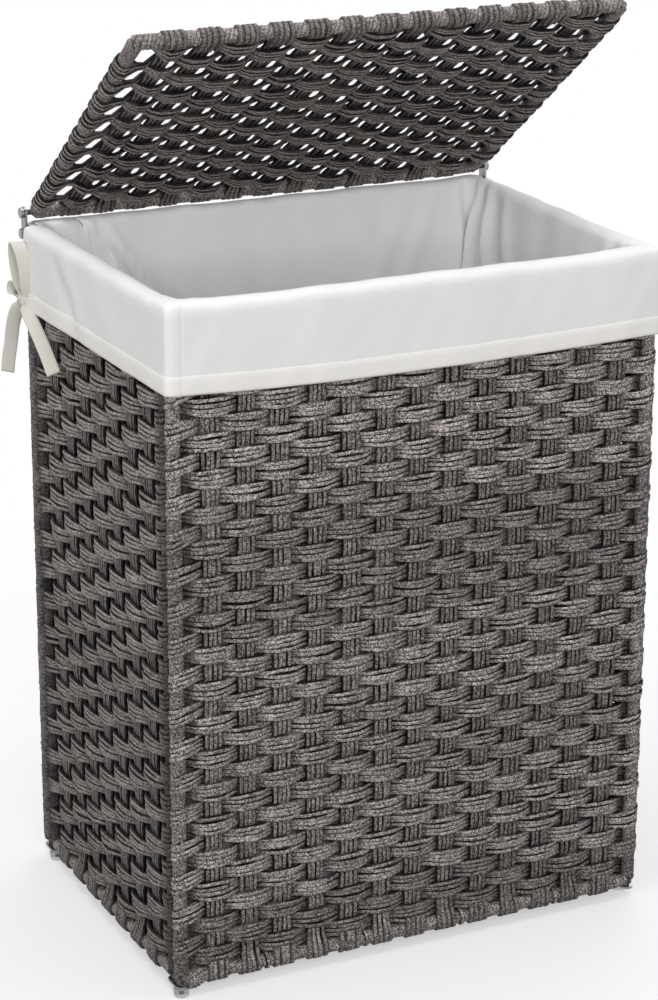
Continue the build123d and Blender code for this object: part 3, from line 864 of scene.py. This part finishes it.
# Pleats by the corners: place past the corner, width and height in millimetres, and lean
corner_pleats = {
    "back_right": ((-66, 9, 6.0, -0.4), (-46, 6, -5.0, -0.3), (-33, 5, 7.0, -0.2), (-22, 4, -5.5, 0),
                   (-13, 4, 8.0, 0), (-4, 3, -5.0, 0), (8, 5, 5.0, 0.1), (33, 8, 5.0, 0.5),
                   (66, 11, 3.0, 0.5)),
    "back_left": ((-52, 5, 8.0, -0.5), (-44, 3.5, -6.5, -0.5), (-28, 5, 9.5, -1.3), (-20, 3.5, -7.5, -1.0),
                  (14, 5, 3.5, 0), (34, 10, 3.5, 0), (72, 14, 2.0, 0)),
    "front_right": ((-38, 9, 3.0, 0), (-14, 6, 3.0, 0), (16, 5, 4.0, 0.2), (30, 6, -3.5, 0.2),
                    (44, 7, 4.0, 0.3)),
    "front_left": ((-16, 6, 3.0, 0), (14, 6, 3.0, 0), (40, 9, 2.5, 0)),
}

# Soft folds across the side cuffs: place back of the middle, width and height in millimetres, and lean
cuff_folds = ((94, 15, -2.2, 0.9), (62, 17, 1.8, 0.6), (22, 14, -1.6, -0.5), (-20, 22, 1.2, 0.4),
              (-84, 20, -1.0, -0.6))


def cuff_swell(drop):
    """How far the cuff stands off outwards at a drop below the fold."""
    share = np.clip(drop / 0.07, 0, 1)
    soft = waves(girth + 6 * MM * share, (0.21, 0.118, 0.071), 8) * (0.35 + 0.3 * share) * MM
    soft = soft + 0.2 * MM * waves(girth + drop * 0.6, (0.041, 0.029), 9)
    for middle, width, size, lean in cuff_folds:
        fold = ridge(cuff_loop[:, 1], middle * MM - lean * drop, width * MM) * sin(pi * min(drop / 0.08, 1))
        soft = soft + np.where(at_side, size * MM * fold, 0)
    side = np.abs(cuff_way[:, 0])
    soft = soft + SIDE_SWELL * side * np.clip(0.2 + cuff_loop[:, 1] / cuff_half[1], 0, 1)
    seam = (seam_share - 0.5) * 2 * (cuff_half[0] - CUFF_CORNER)
    groove = np.where(at_front, ridge(cuff_loop[:, 0], seam, SEAM_WIDTH), 0)
    lip = np.where(at_front, ridge(cuff_loop[:, 0], seam - LIP_PLACE, LIP_WIDTH), 0)
    return soft - SEAM_DEPTH * groove + LIP_HEIGHT * lip + CUFF_GAP


def liner_rows():
    """Rows of points up the bag, over the rail and down the cuff."""
    rows = []
    rise = rim_rise()
    pucker = PUCKER * waves(girth, (7.5 * MM, 5.5 * MM), 15)
    for corner in corner_pleats:
        rise = rise + pucker * ridge(side_place(corner), PUCKER_PLACE, PUCKER_WIDTH)
    for height in BAG_FLOOR + (FOLD_START - BAG_FLOOR) * np.linspace(0, 1, BAG_ROWS) ** 0.85:
        xy = bag_loop - bag_way * bag_slack(FOLD_TOP - height)[:, None]
        rows.append(np.column_stack([xy, height + rise * (height > 0.5)]))
    start = rows[-1]
    end_xy = cuff_loop + cuff_way * cuff_swell(FOLD_TOP - FOLD_START)[:, None]
    near = ridge(np.min([np.abs(side_place(corner)) for corner in corner_pleats], axis=0), 0, 22 * MM)
    for turn in np.linspace(0, pi, FOLD_ROWS + 2)[1:-1]:
        share = (1 - cos(turn)) / 2
        xy = start[:, :2] * (1 - share) + end_xy * share
        crown = FOLD_TOP + 1 * MM * near - FOLD_START
        rows.append(np.column_stack([xy, FOLD_START + rise + crown * sin(turn) ** (0.8 - 0.5 * near)]))
    for share in np.linspace(0, 1, CUFF_ROWS):
        height = FOLD_START + share * (CUFF_BOTTOM + 2 * MM - FOLD_START)
        xy = cuff_loop + cuff_way * cuff_swell(FOLD_TOP - height)[:, None]
        rows.append(np.column_stack([xy, height + rise * CUFF_RIPPLE - cuff_hang() * share]))
    return rows


def slit_sheet(name, rows, slit_row):
    """A sheet of rows of points that run round in a loop, open at the two slits from a row on."""
    keep = np.ones((len(rows) - 1, columns), bool)
    keep[slit_row:, in_slit | np.roll(in_slit, -1)] = False
    kept, quads = np.unique(tube_quads(len(rows), columns)[keep], return_inverse=True)
    return mesh_of(name, np.concatenate(rows)[kept], quads.reshape(-1, 4))


def thicken(piece, thickness, offset):
    """Give a sheet its thickness."""
    solid = piece.modifiers.new("thickness", "SOLIDIFY")
    solid.thickness = thickness
    solid.offset = offset


def liner():
    """The bag's walls, its fold over the rail and the cuff, in one sheet with two slits."""
    piece = slit_sheet("liner_cloth", liner_rows(), BAG_ROWS + CREST_ROW)
    thicken(piece, CLOTH_THICKNESS, 0)
    finish_piece(piece, "basket", "cotton", cotton, "liner_bag")


def liner_floor():
    """The bag's floor, a little slack, sewn to its walls."""
    shares = np.linspace(0, 1, 24)
    rows = []
    edge = bag_loop - bag_way * bag_slack(FOLD_TOP - BAG_FLOOR)[:, None]
    for share in shares[:-1]:
        xy = edge * (1 - share)
        dent = FLOOR_DENT * waves(xy[:, 0] + 0.7 * xy[:, 1], (0.19, 0.11), 21)
        lift = (1 - share) * share * 4 * (dent + FLOOR_DENT)
        rows.append(np.column_stack([xy, BAG_FLOOR + lift]))
    points = np.concatenate(rows + [np.tile([0, 0, BAG_FLOOR], (columns, 1))])
    piece = mesh_of("liner_floor", points, tube_quads(len(shares), columns).reshape(-1, 4))
    thicken(piece, CLOTH_THICKNESS, 0)
    piece.data.materials.append(cotton)
    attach(piece, "basket")


def hem():
    """Tape folded over the cuff's lower edge."""
    rows = []
    levels = [(HEM_INSIDE, -1), (1 * MM, -1), (0, 0), (1 * MM, 1.2)]
    levels += [(share * HEM_HEIGHT, 1.3) for share in np.linspace(0.15, 0.75, 5)]
    levels += [(0.9 * HEM_HEIGHT, 0.5), (HEM_HEIGHT, -0.5)]
    for rise, laps in levels:
        height = CUFF_BOTTOM + rise
        xy = cuff_loop + cuff_way * (cuff_swell(FOLD_TOP - height) + HEM_LAP * laps)[:, None]
        rows.append(np.column_stack([xy, height + rim_rise() * CUFF_RIPPLE - cuff_hang()]))
    piece = slit_sheet("cuff_tape", rows, 0)
    thicken(piece, TAPE_THICKNESS, 1)
    finish_piece(piece, "basket", "hem_tape", tape, "liner_hem")


liner()
liner_floor()
hem()


# Bows


def band(path, flat_way, width, thickness, points=14):
    """A strip of folded tape along a path: rings of points and its faces."""
    tangent = unit(np.gradient(path, axis=0))
    across = unit(flat_way - tangent * (flat_way * tangent).sum(1)[:, None])
    face = np.cross(tangent, across)
    angle = 2 * pi * np.arange(points) / points
    c, s = np.cos(angle), np.sin(angle)
    flat = np.sign(c) * np.abs(c) ** 0.6
    thick = np.sign(s) * np.abs(s) ** 0.8
    width = np.broadcast_to(width, len(path))[:, None, None]
    ring = across[:, None] * flat[:, None] * width / 2 + face[:, None] * thick[:, None] * thickness / 2
    vertices = (path[:, None] + ring).reshape(-1, 3)
    quads = tube_quads(len(path), points).reshape(-1, 4)
    end = np.array([[k, k + 1, points - 2 - k, points - 1 - k] for k in range(points // 2 - 1)])
    return vertices, np.vstack([quads, end[:, ::-1], end + (len(path) - 1) * points])


def joined(name, parts):
    """Several strips as one mesh."""
    vertices, quads, count = [], [], 0
    for points, faces in parts:
        vertices.append(points)
        quads.append(faces + count)
        count += len(points)
    return mesh_of(name, np.concatenate(vertices), np.concatenate(quads))


def bow(name, side):
    """Two tapes tied over a slit: a knot, a loop that stands up, a small loop and two tails."""
    knot_low, knot_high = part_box(f"bow_knot_{name}")
    knot = np.array((knot_low + knot_high) / 2)

    def at(points):
        """Points given in millimetres out, back and up from the knot."""
        points = np.array(points, float) * MM
        points[:, 0] *= side
        return knot + points

    def way(x, y, z):
        return np.array([x * side, y, z], float)

    def tied(points, steps, first, last, *ends):
        """A ribbon along points, flat along the first and then the last direction, gathered at the ends."""
        path = smooth_line(at(points), steps)
        share = np.linspace(0, 1, len(path))
        width = np.ones(len(path))
        for end in ends:
            width = np.minimum(width, 0.5 + 3.2 * np.abs(share - end))
        flat_way = unit(way(*first) * (1 - share[:, None]) + way(*last) * share[:, None])
        return band(path, flat_way, RIBBON_WIDTH * width, RIBBON_THICKNESS)

    tall_loop = tied([(1, 0, 0), (2, -6, 13), (2.5, -8, 27), (4, -6, 41), (5.5, -2, 50), (6, 3, 52.5),
                      (6, 7, 48), (5.5, 8, 36), (4, 6, 21), (2, 3, 9), (1, 1, 1)], 6,
                     (0.9, 0.44, 0), (0.9, 0.30, 0), 0, 1)
    small_loop = tied([(1, 2, 1), (4, 8, 8), (6, 14, 11), (5, 16, 5), (3, 12, 0), (1, 4, 0)], 6,
                      (0.5, 0, 0.9), (0.7, 0.1, 0.7), 0, 1)
    piece = joined(f"bow_{name}_loop_tape", [tall_loop, small_loop])
    finish_piece(piece, "basket", "ribbon", ribbon_cloth, f"bow_loops_{name}")

    front_tail = tied([(1, -2, -1), (3, -13, -8), (2, -31, -21.5), (1, -50, -36.5), (1, -68, -50.5)], 8,
                      (0.89, 0.31, -0.34), (0.89, 0.31, -0.34), 0)
    rear_tail = tied([(1, 3, -2), (6, 8, -10), (8, 14, -25), (9, 18, -42), (11, 20, -58), (12, 21, -70)], 6,
                     (0.8, 0.5, 0), (0.8, 0.6, 0), 0)
    piece = joined(f"bow_{name}_tail_tape", [front_tail, rear_tail])
    finish_piece(piece, "basket", "ribbon", ribbon_cloth, f"bow_tails_{name}")

    turn = np.linspace(0, 2 * pi, 28)
    ring = np.stack([5.2 * np.cos(turn), 1.5 * np.sin(2 * turn), 6.0 * np.sin(turn)], -1)
    knot_part = band(at(ring), way(0.2, 1, 0.15), 9 * MM, 2.6 * MM)
    core = np.stack([3.4 * np.cos(turn), 4.6 * np.sin(turn), 1.2 * np.cos(turn)], -1)
    core_part = band(at(core), way(0.1, 0.1, 1), 7.5 * MM, 3 * MM)
    piece = joined(f"bow_{name}_knot_tape", [knot_part, core_part])
    finish_piece(piece, "basket", "ribbon", ribbon_cloth, f"bow_knot_{name}")


bow("left", -1)
bow("right", 1)


# Metal and plastic pieces keep their solids' shapes

for node_name, node in frame["nodes"].items():
    if not node.hide_render:
        metal = wire if node_name.endswith("_frame") else steel
        node.data.materials.clear()
        node.data.materials.append(clear_plastic if node_name == "foot_caps" else metal)


# Camera, light and floor


def make_camera():
    """A long lens at the height and side from which the hamper is seen."""
    back_way = Vector((
        sin(CAMERA_AZIMUTH) * cos(CAMERA_ELEVATION),
        -cos(CAMERA_AZIMUTH) * cos(CAMERA_ELEVATION),
        sin(CAMERA_ELEVATION),
    ))
    level = Vector((0, 0, 1)).cross(back_way).normalized()
    rise = back_way.cross(level)
    camera_x = level * cos(CAMERA_ROLL) + rise * sin(CAMERA_ROLL)
    camera_y = rise * cos(CAMERA_ROLL) - level * sin(CAMERA_ROLL)
    place = CAMERA_AIM + back_way * CAMERA_DISTANCE
    place -= camera_x * CAMERA_SHIFT[0] + camera_y * CAMERA_SHIFT[1]
    data = bpy.data.cameras.new("camera")
    data.sensor_width = SENSOR
    data.lens = SENSOR * FOCAL_PIXELS / PICTURE_HEIGHT
    data.clip_end = 50
    camera = bpy.data.objects.new("camera", data)
    turn = Matrix((camera_x, camera_y, back_way)).transposed().to_4x4()
    camera.matrix_world = Matrix.Translation(place) @ turn
    bpy.context.scene.collection.objects.link(camera)
    bpy.context.scene.camera = camera


def soft_light(name, place, aim, size, power):
    """A square soft box."""
    data = bpy.data.lights.new(name, "AREA")
    data.shape = "SQUARE"
    data.size = size
    data.energy = power
    light = bpy.data.objects.new(name, data)
    light.location = place
    light.rotation_mode = "QUATERNION"
    light.rotation_quaternion = (Vector(aim) - Vector(place)).to_track_quat("-Z", "Y")
    bpy.context.scene.collection.objects.link(light)


def make_world(ambient):
    """Even light all round, and plain white behind the hamper."""
    n = Nodes("world", bpy.data.worlds)
    bpy.context.scene.world = n.owner
    white = (1, 1, 1, 1)
    lit = n.tree.nodes["Background"]
    n.set(lit, "Color", white)
    n.set(lit, "Strength", ambient)
    plain = n.put("ShaderNodeBackground", {"Color": white, "Strength": 1.0})
    shown = n.put("ShaderNodeMixShader", {0: n.seen(), 1: lit.outputs[0], 2: plain.outputs[0]})
    n.set(n.tree.nodes["World Output"], "Surface", shown.outputs[0])


def make_floor():
    """A wide pale floor that fades into the white behind it, darker to the light that it throws back."""
    size = 12.0
    points = np.array([[-size, -size, 0], [size, -size, 0], [size, size, 0], [-size, size, 0]])
    floor = mesh_of("floor", points, np.array([[0, 1, 2, 3]]))
    n = Nodes("floor")
    matt = n.put("ShaderNodeBsdfDiffuse", {"Color": (0.95, 0.95, 0.95, 1)}).outputs[0]
    white = n.put("ShaderNodeEmission", {"Color": (1, 1, 1, 1), "Strength": 1.0}).outputs[0]
    pale = n.put("ShaderNodeMixShader", {0: 0.5, 1: matt, 2: white}).outputs[0]
    thrown = n.put("ShaderNodeBsdfDiffuse", {"Color": (0.40, 0.40, 0.40, 1)}).outputs[0]
    lit = n.put("ShaderNodeMixShader", {0: n.seen(), 1: thrown, 2: pale}).outputs[0]
    distance = n.put("ShaderNodeVectorMath", {0: n.place()}, operation="LENGTH").outputs["Value"]
    far = n.between(distance, 0.45, 1.1, 0.0, 1.0)
    clear = n.put("ShaderNodeBsdfTransparent").outputs[0]
    faded = n.put("ShaderNodeMixShader", {0: far, 1: lit, 2: clear}).outputs[0]
    n.set(n.tree.nodes["Material Output"], "Surface", faded)
    n.tree.nodes.remove(n.shader)
    floor.data.materials.append(n.owner)


make_camera()
make_world(0.36)
make_floor()
soft_light("key", (-0.7, -2.85, 1.8), (0, 0, 0.4), 1.7, 37.5)
soft_light("side", (-2.8, -0.9, 1.5), (0, 0, 0.4), 1.8, 23.5)
soft_light("rear", (1.9, 2.4, 1.5), (0, 0, 0.4), 2.0, 24)
soft_light("top", (0.0, 0.1, 2.9), (0, 0, 0.3), 2.2, 42)

bpy.context.scene.view_settings.view_transform = "Standard"
